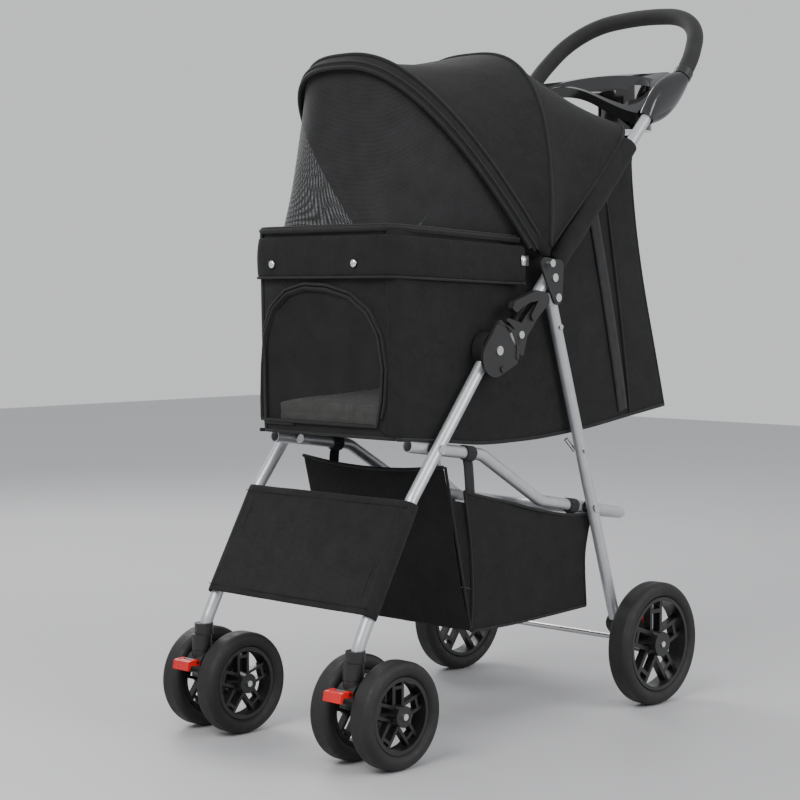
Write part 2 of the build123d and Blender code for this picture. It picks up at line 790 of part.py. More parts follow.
with BuildPart() as front_door:
    with BuildSketch(wall_plane.offset(-2.2)):
        add(door_outline(-0.8))
    extrude(amount=1.6)
save(front_door.part, "front_door")

with BuildPart() as rim_bar:
    with BuildSketch(Plane.XY.offset(607)):
        with BuildLine():
            FilletPolyline(
                (143, front_axle_y + 294), (143, front_axle_y + 278), (126.4, front_axle_y + 240),
                (126.4, front_axle_y + 45.2), (-126.4, front_axle_y + 45.2), (-126.4, front_axle_y + 240),
                (-143, front_axle_y + 278), (-143, front_axle_y + 294), radius=[12, 12, 12, 12, 12, 12],
            )
        trace(line_width=2.4)
    extrude(amount=12)
save(rim_bar.part, "rim_bar")

# ---- hood: two bows and three fabric panels ----------------------------------------------------
window_hinge = (282.4, 638.5)
window_rise = front_bow_rise - 39.8
hood_window = hood_panel(
    window_hinge,
    [
        (-86.8, 124.0, 238.0, 24.0, 0.9),
        (front_bow_tilt - 1.0, hood_half_width - 3, window_rise - 2, 24.0, 0.0),
    ],
)
save(hood_window, "hood_window")

hood_front = hood_panel(
    bow_pivot,
    [
        (front_bow_tilt + 1.0, hood_half_width + 8, front_bow_rise, 52.0, 0.0),
        (middle_bow_tilt - 1.0, hood_half_width + 10, middle_bow_rise + 2, 52.0, 0.0),
    ],
)
save(hood_front, "hood_front_panel")

hood_rear = hood_panel(
    bow_pivot,
    [
        (middle_bow_tilt + 1.0, hood_half_width + 10, middle_bow_rise + 2, 52.0, 0.0),
        (rear_edge_tilt, 151.0, rear_edge_rise, 52.0, 0.9),
    ],
)
save(hood_rear, "hood_rear_panel")

front_bow = hood_bow(bow_pivot, front_bow_tilt, hood_half_width + 5.2, front_bow_rise - 6, 1.8, 154.4)
save(front_bow, "front_bow")
middle_bow = hood_bow(bow_pivot, middle_bow_tilt, hood_half_width + 5, middle_bow_rise - 6, 1.8, 158.2)
save(middle_bow, "middle_bow")

# ---- casters: socket stem, fork, lock lever, twin wheels ---------------------------------------
for name, side in (("left", 1), ("right", -1)):
    fork_x = side * tube_x
    stem_y = front_axle_y + caster_stem_back
    axle_y, axle_z = at(front_axle)
    with BuildPart() as caster_fork:
        with BuildSketch(side_plane(fork_x - 14)):
            with Locations(at((caster_stem_back, 92))):
                Circle(15)
            with Locations(at(front_axle)):
                Circle(12)
            make_hull()
        extrude(amount=28)
        with BuildSketch(Plane.XY.offset(100)):
            with Locations((fork_x, stem_y)):
                Circle(13)
        extrude(amount=9.6)
        with BuildSketch(Plane.XY.offset(109)):
            with Locations((fork_x, stem_y)):
                Circle(5)
        extrude(amount=9)
        with BuildSketch(side_plane(fork_x - 8)):
            with Locations(at(lock_pivot)):
                Circle(4)
            with Locations(at((-48, 95))):
                Circle(4)
            make_hull()
        extrude(amount=16)
        with BuildSketch(side_plane(fork_x - 15)):
            with Locations(at(lock_pivot)):
                Circle(2)
        extrude(amount=30)
        with BuildSketch(side_plane(fork_x - 20)):
            with Locations((axle_y, axle_z)):
                Circle(4 + running)
        extrude(amount=40, mode=Mode.SUBTRACT)
    save(caster_fork.part, f"caster_fork_{name}")

    with BuildPart() as caster_axle:
        with BuildSketch(side_plane(fork_x - 52)):
            with Locations((axle_y, axle_z)):
                Circle(4)
        extrude(amount=104)
    save(caster_axle.part, f"caster_axle_{name}")

    with BuildPart() as swivel_lock:
        for cheek in (-15, 8.4):
            with BuildSketch(side_plane(fork_x + cheek)):
                with Locations(at(lock_pivot)):
                    Circle(4)
                with Locations(at((-68, 97))):
                    Circle(3)
                make_hull()
                with Locations(at(lock_pivot)):
                    Circle(2 + running, mode=Mode.SUBTRACT)
            extrude(amount=6.6)
        with BuildSketch(side_plane(fork_x - 15)):
            with BuildLine():
                Polyline(*[at(p) for p in lock_lever], close=True)
            make_face()
        extrude(amount=30)
    save(swivel_lock.part, f"swivel_lock_{name}")

    for place, offset in (("outer", front_wheel_gap), ("inner", -front_wheel_gap)):
        wheel_x = side * (tube_x + offset)
        save(tyre(wheel_x, front_axle, front_wheel_r, 47.0, front_wheel_w), f"front_tyre_{name}_{place}")
        save(rim(wheel_x, front_axle, 47.0, 22.0, 13.0, 30.0, 4.0), f"front_rim_{name}_{place}")

# ---- rear wheels -------------------------------------------------------------------------------
for name, side in (("left", 1), ("right", -1)):
    wheel_x = side * rear_wheel_x
    save(tyre(wheel_x, rear_axle, rear_wheel_r, 65.0, rear_wheel_w), f"rear_tyre_{name}")
    save(rim(wheel_x, rear_axle, 65.0, 26.0, 17.0, 34.0, 4.0), f"rear_rim_{name}")
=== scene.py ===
from math import cos, pi, radians, sin

import bmesh
import bpy
from mathutils import Matrix, Vector, noise


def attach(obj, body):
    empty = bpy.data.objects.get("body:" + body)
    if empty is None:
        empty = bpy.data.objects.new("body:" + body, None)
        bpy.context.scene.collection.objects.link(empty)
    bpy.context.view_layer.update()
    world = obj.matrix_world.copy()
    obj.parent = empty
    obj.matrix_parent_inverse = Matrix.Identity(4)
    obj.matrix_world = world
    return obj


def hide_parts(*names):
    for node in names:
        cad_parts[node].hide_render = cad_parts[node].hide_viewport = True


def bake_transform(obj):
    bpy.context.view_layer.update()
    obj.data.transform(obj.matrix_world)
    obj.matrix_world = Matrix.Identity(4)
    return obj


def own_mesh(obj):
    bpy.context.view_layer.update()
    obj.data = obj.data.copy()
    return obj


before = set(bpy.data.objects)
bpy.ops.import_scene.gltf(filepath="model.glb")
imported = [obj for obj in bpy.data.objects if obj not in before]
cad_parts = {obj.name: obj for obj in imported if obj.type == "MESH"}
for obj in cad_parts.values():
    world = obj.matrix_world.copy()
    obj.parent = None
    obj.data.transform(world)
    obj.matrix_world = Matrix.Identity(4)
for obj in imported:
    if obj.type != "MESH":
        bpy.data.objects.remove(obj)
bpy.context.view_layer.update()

# Everything is in metres. Side-view points are (millimetres behind the front axle, height in millimetres).
FRONT_AXLE_Y = -0.3325


def P(back, z, x=0.0):
    """Point in metres from a side-view point and a cross position, all in millimetres."""
    return Vector((x / 1000, FRONT_AXLE_Y + back / 1000, z / 1000))


# ---------------------------------------------------------------- materials
class Nodes:
    """One procedural material, built node by node."""

    def __init__(self, name, color, rough, metallic=0.0, coord="Object"):
        self.mat = bpy.data.materials.new(name)
        self.mat.use_nodes = True
        self.tree = self.mat.node_tree
        self.bsdf = self.tree.nodes["Principled BSDF"]
        self.bsdf.inputs["Base Color"].default_value = (*color, 1)
        self.bsdf.inputs["Roughness"].default_value = rough
        self.bsdf.inputs["Metallic"].default_value = metallic
        self.color, self.rough = color, rough
        self.coords = self.add("ShaderNodeTexCoord").outputs[coord]
        self.normal = None

    def add(self, kind, **settings):
        node = self.tree.nodes.new(kind)
        for key, value in settings.items():
            setattr(node, key, value)
        return node

    def link(self, a, b):
        self.tree.links.new(a, b)

    def noise(self, scale, detail=3.0, rough=0.55, stretch=None):
        node = self.add("ShaderNodeTexNoise")
        node.inputs["Scale"].default_value = scale
        node.inputs["Detail"].default_value = detail
        node.inputs["Roughness"].default_value = rough
        self.link(self.mapped(stretch), node.inputs["Vector"])
        return node.outputs["Fac"]

    def mapped(self, stretch=None, turn=0.0):
        if stretch is None and not turn:
            return self.coords
        node = self.add("ShaderNodeMapping")
        node.inputs["Scale"].default_value = stretch or (1, 1, 1)
        node.inputs["Rotation"].default_value = (0, 0, turn)
        self.link(self.coords, node.inputs["Vector"])
        return node.outputs["Vector"]

    def wave(self, period, direction="X", turn=0.0, profile="SIN"):
        bands = {"wave_type": "BANDS", "bands_direction": direction, "wave_profile": profile}
        node = self.add("ShaderNodeTexWave", **bands)
        node.inputs["Scale"].default_value = 0.314159 / period
        node.inputs["Distortion"].default_value = 0.0
        self.link(self.mapped(None, turn), node.inputs["Vector"])
        return node.outputs["Fac"]

    def math(self, op, a, b=None, clamp=False):
        node = self.add("ShaderNodeMath", operation=op, use_clamp=clamp)
        for socket, value in zip(node.inputs, (a, b)):
            if value is None:
                continue
            if isinstance(value, (int, float)):
                socket.default_value = value
            else:
                self.link(value, socket)
        return node.outputs[0]

    def spread(self, fac, low, high):
        node = self.add("ShaderNodeMapRange")
        node.inputs["From Min"].default_value = 0.3
        node.inputs["From Max"].default_value = 0.7
        node.inputs["To Min"].default_value = low
        node.inputs["To Max"].default_value = high
        self.link(fac, node.inputs["Value"])
        return node.outputs["Result"]

    def tint(self, fac, low, high):
        """Vary the base colour between low and high times itself."""
        ramp = self.add("ShaderNodeValToRGB")
        ramp.color_ramp.elements[0].position = 0.3
        ramp.color_ramp.elements[1].position = 0.7
        ramp.color_ramp.elements[0].color = (*[c * low for c in self.color], 1)
        ramp.color_ramp.elements[1].color = (*[min(1, c * high) for c in self.color], 1)
        self.link(fac, ramp.inputs["Fac"])
        self.link(ramp.outputs["Color"], self.bsdf.inputs["Base Color"])
        return self

    def roughen(self, fac, low, high):
        self.link(self.spread(fac, low, high), self.bsdf.inputs["Roughness"])
        return self

    def bump(self, height, distance, strength=1.0):
        node = self.add("ShaderNodeBump")
        node.inputs["Distance"].default_value = distance
        node.inputs["Strength"].default_value = strength
        self.link(height, node.inputs["Height"])
        if self.normal is not None:
            self.link(self.normal, node.inputs["Normal"])
        self.normal = node.outputs["Normal"]
        self.link(self.normal, self.bsdf.inputs["Normal"])
        return self

    def sheen(self, weight, rough=0.5, tint=(1, 1, 1)):
        self.bsdf.inputs["Sheen Weight"].default_value = weight
        self.bsdf.inputs["Sheen Roughness"].default_value = rough
        self.bsdf.inputs["Sheen Tint"].default_value = (*tint, 1)
        return self

    def specular(self, level):
        self.bsdf.inputs["Specular IOR Level"].default_value = level
        return self


def woven(name, color, thread=0.0011, rough=0.86, sheen=0.12):
    """Plain-weave polyester: crossed threads, slight slubs and soft creases."""
    m = Nodes(name, color, rough, coord="UV")
    warp = m.wave(thread, "X")
    weft = m.wave(thread, "Y")
    weave = m.math("MULTIPLY", warp, weft)
    slub = m.noise(900, 2, 0.6, (1, 0.08, 1))
    m.tint(m.noise(42, 4), 0.78, 1.3)
    m.roughen(m.noise(160, 3), rough - 0.06, rough + 0.05)
    m.bump(m.noise(26, 3), 0.0009, 0.5)
    m.bump(m.math("ADD", weave, m.math("MULTIPLY", slub, 0.35)), 0.00022, 0.7)
    return m.sheen(sheen, 0.45).specular(0.3).mat


def netting(name, color, cell=0.0016, open_share=0.45, opacity=1.0):
    """Knitted mesh: round holes in a staggered net, clear through the holes."""
    m = Nodes(name, color, 0.7, coord="UV")
    across = m.wave(cell, "X")
    along = m.wave(cell * 0.9, "Y")
    hole = m.math("MULTIPLY", across, along)
    solid = m.math("LESS_THAN", hole, open_share)
    m.tint(m.noise(30, 3), 0.8, 1.25)
    m.bump(hole, 0.0003, 0.5)
    clear = m.add("ShaderNodeBsdfTransparent")
    mix = m.add("ShaderNodeMixShader")
    m.link(m.math("MULTIPLY", solid, opacity), mix.inputs["Fac"])
    m.link(clear.outputs[0], mix.inputs[1])
    m.link(m.bsdf.outputs[0], mix.inputs[2])
    m.link(mix.outputs[0], m.tree.nodes["Material Output"].inputs["Surface"])
    return m.sheen(0.2, 0.4).specular(0.25).mat


def webbing(name, color, rib=0.0016):
    m = Nodes(name, color, 0.8, coord="UV")
    m.tint(m.noise(60, 3), 0.8, 1.3)
    m.bump(m.wave(rib, "Y"), 0.0004, 0.8)
    m.bump(m.wave(rib * 0.6, "X"), 0.0002, 0.5)
    return m.sheen(0.08, 0.45).specular(0.3).mat


def moulded(name, color, rough, grain=0.00008, specular=0.5, coat=0.0):
    m = Nodes(name, color, rough)
    m.tint(m.noise(35, 3), 0.85, 1.15)
    m.roughen(m.noise(90, 4), max(0.02, rough - 0.06), rough + 0.08)
    m.bump(m.noise(1700, 2), grain, 0.6)
    m.bsdf.inputs["Coat Weight"].default_value = coat
    m.bsdf.inputs["Coat Roughness"].default_value = 0.08
    return m.specular(specular).mat


def metal(name, color, rough, metallic, streak=0.04):
    m = Nodes(name, color, rough, metallic)
    m.tint(m.noise(55, 4), 0.92, 1.06)
    m.roughen(m.noise(260, 4, 0.6), rough - streak, rough + streak)
    m.bump(m.noise(1400, 2), 0.00002, 0.5)
    return m.mat


M = {
    "cloth": woven("black polyester", (0.0085, 0.0085, 0.009), 0.0011, 0.88, 0.05),
    "lining": woven("black lining", (0.006, 0.006, 0.006), 0.0009, 0.92, 0.03),
    "piping": webbing("black bias tape", (0.012, 0.012, 0.0125), 0.0012),
    "strap": webbing("black webbing", (0.02, 0.02, 0.021)),
    "net": netting("window mesh", (0.02, 0.02, 0.021)),
    "door_net": netting("door mesh", (0.02, 0.02, 0.02), 0.0014, 0.2),
    "gusset_net": netting("gusset mesh", (0.03, 0.03, 0.03), 0.0014, 0.12),
    "fleece": None,
    "tube": metal("grey powder coat", (0.5, 0.515, 0.53), 0.36, 0.55),
    "steel": metal("zinc plate", (0.72, 0.72, 0.72), 0.3, 1.0),
    "snap": metal("nickel snap", (0.85, 0.85, 0.85), 0.16, 1.0),
    "plastic": moulded("black moulded plastic", (0.014, 0.014, 0.0145), 0.42, 0.0001),
    "wheel": moulded("black wheel plastic", (0.012, 0.012, 0.0125), 0.36, 0.00008),
    "gloss": moulded("gloss black plastic", (0.006, 0.006, 0.0065), 0.1, 0.00001, 0.5, 0.6),
    "red": moulded("red plastic", (0.62, 0.012, 0.01), 0.32, 0.00005),
    "zip": webbing("black zip chain", (0.012, 0.012, 0.012), 0.0022),
}
fleece = Nodes("grey fleece", (0.2, 0.2, 0.185), 0.95)
fleece.tint(fleece.noise(70, 5), 0.75, 1.3)
fleece.bump(fleece.noise(500, 4, 0.7), 0.0012, 0.8)
M["fleece"] = fleece.sheen(0.4, 0.5).specular(0.15).mat
foam = Nodes("black foam grip", (0.017, 0.017, 0.0175), 0.78)
foam.tint(foam.noise(40, 3), 0.85, 1.2)
foam.bump(foam.noise(1500, 4, 0.7), 0.00035, 0.7)
M["foam"] = foam.sheen(0.08, 0.4).specular(0.35).mat
rubber = Nodes("tyre rubber", (0.0125, 0.0125, 0.0125), 0.62)
rubber.tint(rubber.noise(30, 4), 0.8, 1.3)
rubber.roughen(rubber.noise(120, 4), 0.52, 0.72)
rubber.bump(rubber.noise(900, 3), 0.00012, 0.6)
M["rubber"] = rubber.specular(0.4).mat


# ---------------------------------------------------------------- mesh helpers
def line(points, smooth=True):
    """Curve through points, called with 0 to 1 along its length."""
    pts = [Vector(p) for p in points]
    fine = []
    for i in range(len(pts) - 1):
        p0, p1, p2, p3 = pts[max(i - 1, 0)], pts[i], pts[i + 1], pts[min(i + 2, len(pts) - 1)]
        steps = 12 if smooth and len(pts) > 2 else 1
        for k in range(steps):
            t = k / steps
            if steps == 1:
                fine.append(p1)
                continue
            a = (p2 - p0) * 0.5
            b = (p3 - p1) * 0.5
            h = (2 * t**3 - 3 * t**2 + 1, t**3 - 2 * t**2 + t, -2 * t**3 + 3 * t**2, t**3 - t**2)
            fine.append(p1 * h[0] + a * h[1] + p2 * h[2] + b * h[3])
    fine.append(pts[-1])
    lengths = [0.0]
    for a, b in zip(fine, fine[1:]):
        lengths.append(lengths[-1] + (b - a).length)
    total = lengths[-1]

    def at(t):
        want = max(0.0, min(1.0, t)) * total
        low, high = 0, len(lengths) - 1
        while high - low > 1:
            middle = (low + high) // 2
            if lengths[middle] <= want:
                low = middle
            else:
                high = middle
        span = lengths[high] - lengths[low]
        return fine[low].lerp(fine[high], 0 if span < 1e-9 else (want - lengths[low]) / span)

    at.length = total
    return at


def patch(bottom, top, left, right, across, up, ease=1.0):
    """Grid of points between four edge curves that meet at their ends."""
    rows = []
    for j in range(up + 1):
        v = j / up
        row = []
        for i in range(across + 1):
            u = (i / across) ** ease
            edge = bottom(u) * (1 - v) + top(u) * v + left(v) * (1 - u) + right(v) * u
            corners = (
                bottom(0) * (1 - u) * (1 - v) + bottom(1) * u * (1 - v)
                + top(0) * (1 - u) * v + top(1) * u * v
            )
            row.append(edge - corners)
        rows.append(row)
    return rows


def wrinkle(p, size=0.09, depth=0.002, seed=0.0):
    """Smooth seeded height at a point, for soft cloth that isn't quite flat."""
    q = Vector((p[0] / size + seed, p[1] / size - seed, p[2] / size + 2 * seed))
    return depth * (noise.noise(q) + 0.4 * noise.noise(q * 2.3))


def settle(obj, *modifiers):
    """Add modifiers, then keep their result as the mesh."""
    for kind, settings in modifiers:
        m = obj.modifiers.new(kind, kind)
        for key, value in settings.items():
            setattr(m, key, value)
    bpy.context.view_layer.update()
    deps = bpy.context.evaluated_depsgraph_get()
    mesh = bpy.data.meshes.new_from_object(obj.evaluated_get(deps))
    old = obj.data
    obj.modifiers.clear()
    obj.data = mesh
    bpy.data.meshes.remove(old)
    for poly in mesh.polygons:
        poly.use_smooth = True
    return obj


def build(name, verts, faces, mat, uvs=None):
    mesh = bpy.data.meshes.new(name)
    mesh.from_pydata([tuple(v) for v in verts], [], faces)
    mesh.update()
    if uvs:
        layer = mesh.uv_layers.new(name="cloth")
        for loop in mesh.loops:
            layer.data[loop.index].uv = uvs[loop.vertex_index]
    for poly in mesh.polygons:
        poly.use_smooth = True
    obj = bpy.data.objects.new(name, mesh)
    bpy.context.scene.collection.objects.link(obj)
    obj.data.materials.append(mat)
    return obj


def cloth(name, rows, mat, thick=0.0012, level=1, loop=False, offset=0.0):
    """Sheet from rows of points, with real-size UVs, a thickness and a subdivision."""
    down, across = len(rows), len(rows[0])
    verts = [p for row in rows for p in row]
    uvs = []
    for j in range(down):
        u = 0.0
        for i in range(across):
            if i:
                u += (rows[j][i] - rows[j][i - 1]).length
            uvs.append([u, 0.0])
    middle = across // 2
    v = 0.0
    for j in range(down):
        if j:
            v += (rows[j][middle] - rows[j - 1][middle]).length
        for i in range(across):
            uvs[j * across + i][1] = v
    faces = []
    for j in range(down - 1):
        for i in range(across - 1):
            a = j * across + i
            faces.append((a, a + 1, a + 1 + across, a + across))
        if loop:
            a = j * across
            faces.append((a + across - 1, a, a + across, a + 2 * across - 1))
    obj = build(name, verts, faces, mat, [tuple(x) for x in uvs])
    steps = []
    if thick:
        steps.append(("SOLIDIFY", {"thickness": thick, "offset": offset, "use_even_offset": False}))
    if level:
        steps.append(("SUBSURF", {"levels": level, "render_levels": level}))
    return settle(obj, *steps) if steps else obj


def cord(name, points, radius, mat, ring=8, samples=48, smooth=True, flat=1.0, closed=False):
    """Round or oval cord along a curve: piping, a hem, a zip or a bent rod."""
    path = points if callable(points) else line(points, smooth)
    count = samples if closed else samples + 1
    centres = [path(i / samples) for i in range(count)]
    tangents = []
    for i in range(count):
        if closed:
            t = centres[(i + 1) % count] - centres[i - 1]
        else:
            t = centres[min(i + 1, count - 1)] - centres[max(i - 1, 0)]
        tangents.append(t.normalized())
    side = tangents[0].orthogonal().normalized()
    rows, total = [], 0.0
    uvs = []
    for i in range(count):
        side = (side - tangents[i] * side.dot(tangents[i])).normalized()
        up = tangents[i].cross(side)
        if i:
            total += (centres[i] - centres[i - 1]).length
        r = radius(i / samples) if callable(radius) else radius
        row = []
        for k in range(ring):
            a = 2 * pi * k / ring
            row.append(centres[i] + side * cos(a) * r + up * sin(a) * r * flat)
            uvs.append((k / ring * 2 * pi * r, total))
        rows.append(row)
    verts = [p for row in rows for p in row]
    faces = []
    for i in range(count if closed else count - 1):
        for k in range(ring):
            a, b = i * ring + k, i * ring + (k + 1) % ring
            c, d = ((i + 1) % count) * ring + (k + 1) % ring, ((i + 1) % count) * ring + k
            faces.append((a, b, c, d))
    if not closed:
        faces.append(tuple(range(ring - 1, -1, -1)))
        faces.append(tuple((count - 1) * ring + k for k in range(ring)))
    return build(name, verts, faces, mat, uvs)


def strip(name, centre, across, width, mat, samples=40, thick=0.0014, level=1, crown=0.0, bulge=None):
    """Flat tape along a curve; across(t) is the direction of its width, as a unit vector."""
    path = centre if callable(centre) else line(centre)
    rows = []
    for i in range(samples + 1):
        t = i / samples
        c = path(t)
        a = across(t) if callable(across) else Vector(across).normalized()
        w = width(t) if callable(width) else width
        d = (path(min(1, t + 0.01)) - path(max(0, t - 0.01))).normalized()
        n = a.cross(d).normalized()
        row = []
        for k in range(5):
            s = k / 4 - 0.5
            row.append(c + a * s * w + n * crown * (1 - 4 * s * s))
        rows.append(row)
    return cloth(name, rows, mat, thick, level)


def lathe(name, outline, origin, axis, mat, steps=32):
    """Turned piece: outline is (radius, along) pairs in metres about an axis."""
    axis = Vector(axis).normalized()
    u = axis.orthogonal().normalized()
    v = axis.cross(u)
    verts, faces = [], []
    for r, h in outline:
        for k in range(steps):
            a = 2 * pi * k / steps
            verts.append(Vector(origin) + axis * h + (u * cos(a) + v * sin(a)) * r)
    for j in range(len(outline) - 1):
        for k in range(steps):
            b = (k + 1) % steps
            faces.append((j * steps + k, j * steps + b, (j + 1) * steps + b, (j + 1) * steps + k))
    faces.append(tuple(range(steps - 1, -1, -1)))
    faces.append(tuple((len(outline) - 1) * steps + k for k in range(steps)))
    return build(name, verts, faces, mat)


def join(name, *objs):
    """One piece from several meshes that move together."""
    bm = bmesh.new()
    mats = []
    for o in objs:
        for m in o.data.materials:
            if m not in mats:
                mats.append(m)
    mesh = bpy.data.meshes.new(name)
    for o in objs:
        part = o.data.copy()
        for poly in part.polygons:
            poly.material_index = mats.index(o.data.materials[poly.material_index])
        part.transform(o.matrix_world)
        bm.from_mesh(part)
        bpy.data.meshes.remove(part)
        bpy.data.objects.remove(o)
    bm.to_mesh(mesh)
    bm.free()
    obj = bpy.data.objects.new(name, mesh)
    bpy.context.scene.collection.objects.link(obj)
    for m in mats:
        mesh.materials.append(m)
    return obj


def on_bag(obj):
    """Bag cloth: it rides on the front frame."""
    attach(obj, "front_frame")
    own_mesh(obj)
    return obj


def on_basket(obj):
    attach(obj, "link_frame")
    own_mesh(obj)
    return obj


# ---------------------------------------------------------------- cabin bag
HALF = 124.0
bottom_side = [
    (54, 392), (100, 388.5), (140, 385.5), (211, 378.8), (280, 378.6), (341, 380.6), (430, 388),
    (520, 399.5), (610, 411),
]
top_side = [
    (47, 650), (120, 648.5), (200, 645), (252, 640), (288, 628), (312, 620), (338, 632), (400, 690),
    (460, 748), (500, 780), (527, 792),
]
rear_side = [(610, 411), (590, 478), (566, 556), (553, 603), (540, 660), (531, 714), (527, 755), (527, 792)]
front_side = [(54, 392), (52, 460), (50, 530), (48.5, 600), (47, 650)]


def side_wall(side):
    """One side of the bag, a soft panel that swells out a little between its seams."""
    curves = [line([P(b, z) for b, z in edge]) for edge in (bottom_side, top_side, front_side, rear_side)]
    rows = patch(curves[0], curves[1], curves[2], curves[3], 64, 32, 1.7)
    for j, row in enumerate(rows):
        v = j / (len(rows) - 1)
        for i, p in enumerate(row):
            u = (i / (len(row) - 1)) ** 1.7
            swell = 3.2 * (sin(pi * u) * sin(pi * v)) ** 0.6
            turn = max(0.0, 13.0 - 560 * u)
            corner = 13.0 - (169.0 - turn * turn) ** 0.5
            p.x = side * (HALF + swell - corner) / 1000
            inner = min(1, 8 * u, 8 * (1 - u), 8 * v, 8 * (1 - v))
            p.x += side * wrinkle(p, 0.075, 0.0016, 3.1 * side) * inner
            back = 1000 * (p.y - FRONT_AXLE_Y)
            p.x += side * 0.011 * max(0.0, min(1.0, (back - 318) / 25)) * max(0.0, v * 6 - 5) ** 1.5
    return rows


for side, name in ((1, "left"), (-1, "right")):
    rows = side_wall(side)
    if side > 0:
        rows = rows[::-1]
    wall = cloth(f"bag_side_{name}", rows, M["cloth"], 0.0014)
    on_bag(wall)
    if side > 0:
        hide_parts("cabin_bag")

# front wall: a ring of cloth between the doorway and the wall's edge
DOOR = [
    (88, 408), (96, 440), (99, 478), (93, 516), (76, 543), (46, 562), (8, 571), (-30, 573),
    (-62, 566), (-88, 547), (-106, 514), (-114, 474), (-118, 436), (-119, 408),
]


def front_point(x, z, proud=0.0):
    """Point on the front wall, which leans back a little towards the bottom and swells in the middle."""
    v = (z - 392) / 259
    u = max(-1, min(1, x / 120))
    swell = 3.0 * max(0, 1 - u * u) * max(0, sin(pi * min(1, max(0, v))))
    back = 54 - 7 * v - swell - proud
    back += 1.2 * max(0.0, (abs(x) - 98) / 13) ** 2
    return P(back, z, x)


def door_loop(grow=0.0):
    centre = Vector((-10, 480, 0))
    pts = [Vector((x, z, 0)) for x, z in DOOR]
    pts.append(pts[0].copy())
    grown = [p + (p - centre).normalized() * grow for p in pts[:-1]]
    path = line(grown + [pts[0] + (pts[0] - centre).normalized() * grow], False)
    return path, centre


def wall_edge(direction):
    """Where a ray from the doorway's middle meets the wall's outline."""
    best = 1e9
    walls_out = (((1, 0), HALF - 2.6), ((-1, 0), HALF - 22.6), ((0, 1), 652 - 480), ((0, -1), 480 - 392))
    for normal, limit in walls_out:
        d = direction.x * normal[0] + direction.y * normal[1]
        if d > 1e-6:
            best = min(best, limit / d)
    return best


door_path, door_centre = door_loop()
rays, rings = 96, 12
ring_rows = [[] for _ in range(rings + 1)]
for i in range(rays + 1):
    q = door_path((i % rays) / rays)
    direction = (q - door_centre).normalized()
    outer = door_centre + direction * wall_edge(direction)
    for j in range(rings + 1):
        p = q.lerp(outer, j / rings)
        w = front_point(p.x, p.y)
        w.y -= wrinkle(w, 0.07, 0.0016, 7.7) * sin(pi * j / rings)
        ring_rows[j].append(w)
front = cloth("bag_front", ring_rows, M["cloth"], 0.0014)
on_bag(front)

left_edge = [(-119, 404), (-118, 436), (-114, 474), (-106, 514), (-88, 547), (-62, 566), (-36, 572)]
right_edge = [(88, 404), (96, 440), (99, 478), (93, 516), (76, 543), (46, 562), (4, 572)]
door_left = line([P(0, z, x) for x, z in left_edge])
door_right = line([P(0, z, x) for x, z in right_edge])
mesh_rows = []
for j in range(25):
    ends = door_left(j / 24), door_right(j / 24)
    row = []
    for i in range(33):
        p = ends[0].lerp(ends[1], i / 32)
        w = front_point(p.x * 1000, p.z * 1000, -1.2)
        w.y += 0.003 * sin(pi * i / 32) * sin(pi * j / 24) + wrinkle(w, 0.06, 0.0012, 1.3)
        row.append(w)
    mesh_rows.append(row)
door_mesh = cloth("door_mesh", mesh_rows, M["door_net"], 0, 1)
uv = door_mesh.data.uv_layers[0]
for loop in door_mesh.data.loops:
    co = door_mesh.data.vertices[loop.vertex_index].co
    uv.data[loop.index].uv = (co.x, co.z)
on_bag(door_mesh)
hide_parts("front_door")

zip_path, _ = door_loop(4.5)
zip_route = lambda t: front_point(zip_path(t).x, zip_path(t).y, 1.2)
zip_line = cord("door_zip", zip_route, 0.0034, M["zip"], 10, 150, flat=0.55, closed=True)
on_bag(zip_line)
pipe_path, _ = door_loop(10.5)


def pipe_route(t):
    p = pipe_path(0.02 + 0.77 * t)
    return front_point(max(-112, p.x), p.y, 1.4)


door_pipe = cord("door_piping", pipe_route, 0.0022, M["piping"], 8, 120)
on_bag(door_pipe)

# rear wall, one panel of cloth; the real rear opens on two zips, which are not drawn
rear_curve = line([P(b, z) for b, z in rear_side])
rear_rows = []
for j in range(33):
    v = j / 32
    base = rear_curve(v)
    row = []
    for i in range(41):
        u = i / 40 * 2 - 1
        p = base.copy()
        p.x = u * HALF / 1000
        p.y += 0.006 * (1 - u * u) * sin(pi * v) - 0.004 * max(0.0, abs(u) * 20 - 19) ** 2
        p.y += wrinkle(p, 0.08, 0.0018, 5.5) * (1 - u**4)
        row.append(p)
    rear_rows.append(row)
rear = cloth("bag_rear", rear_rows, M["cloth"], 0.0014)
on_bag(rear)

# floor cloth
floor_curve = line([P(b, z) for b, z in bottom_side])
floor_rows = []
for j in range(31):
    base = floor_curve(j / 30)
    row = []
    for i in range(17):
        u = i / 16 * 2 - 1
        p = base.copy()
        p.x = u * HALF / 1000
        p.z += 0.0012 * (1 - u * u)
        row.append(p)
    floor_rows.append(row)
floor = cloth("bag_floor", floor_rows, M["cloth"], 0.0012, 1)
on_bag(floor)

# piping along the bag's seams
seams = []
for side in (1, -1):
    x = side * (HALF + 0.6)
    seams.append(cord("seam", [P(b, z - 0.6, x) for b, z in bottom_side], 0.0024, M["piping"], 8, 60))
    rear_edge = [P(b + 0.6, z, side * (HALF - 1)) for b, z in rear_side]
    seams.append(cord("seam", rear_edge, 0.0026, M["piping"], 8, 50))
rear_foot = [P(610.8, 410.6, x) for x in (-HALF, -60, 0, 60, HALF)]
seams.append(cord("seam", rear_foot, 0.0024, M["piping"], 8, 30))
front_foot = [front_point(x, 391.6, 0.5) for x in (-110, -60, 0, 60, 110)]
front_foot = [P(66, 390.8, -HALF)] + front_foot + [P(66, 390.8, HALF)]
seams.append(cord("seam", front_foot, 0.0024, M["piping"], 8, 40))
seam = join("bag_piping", *seams)
on_bag(seam)


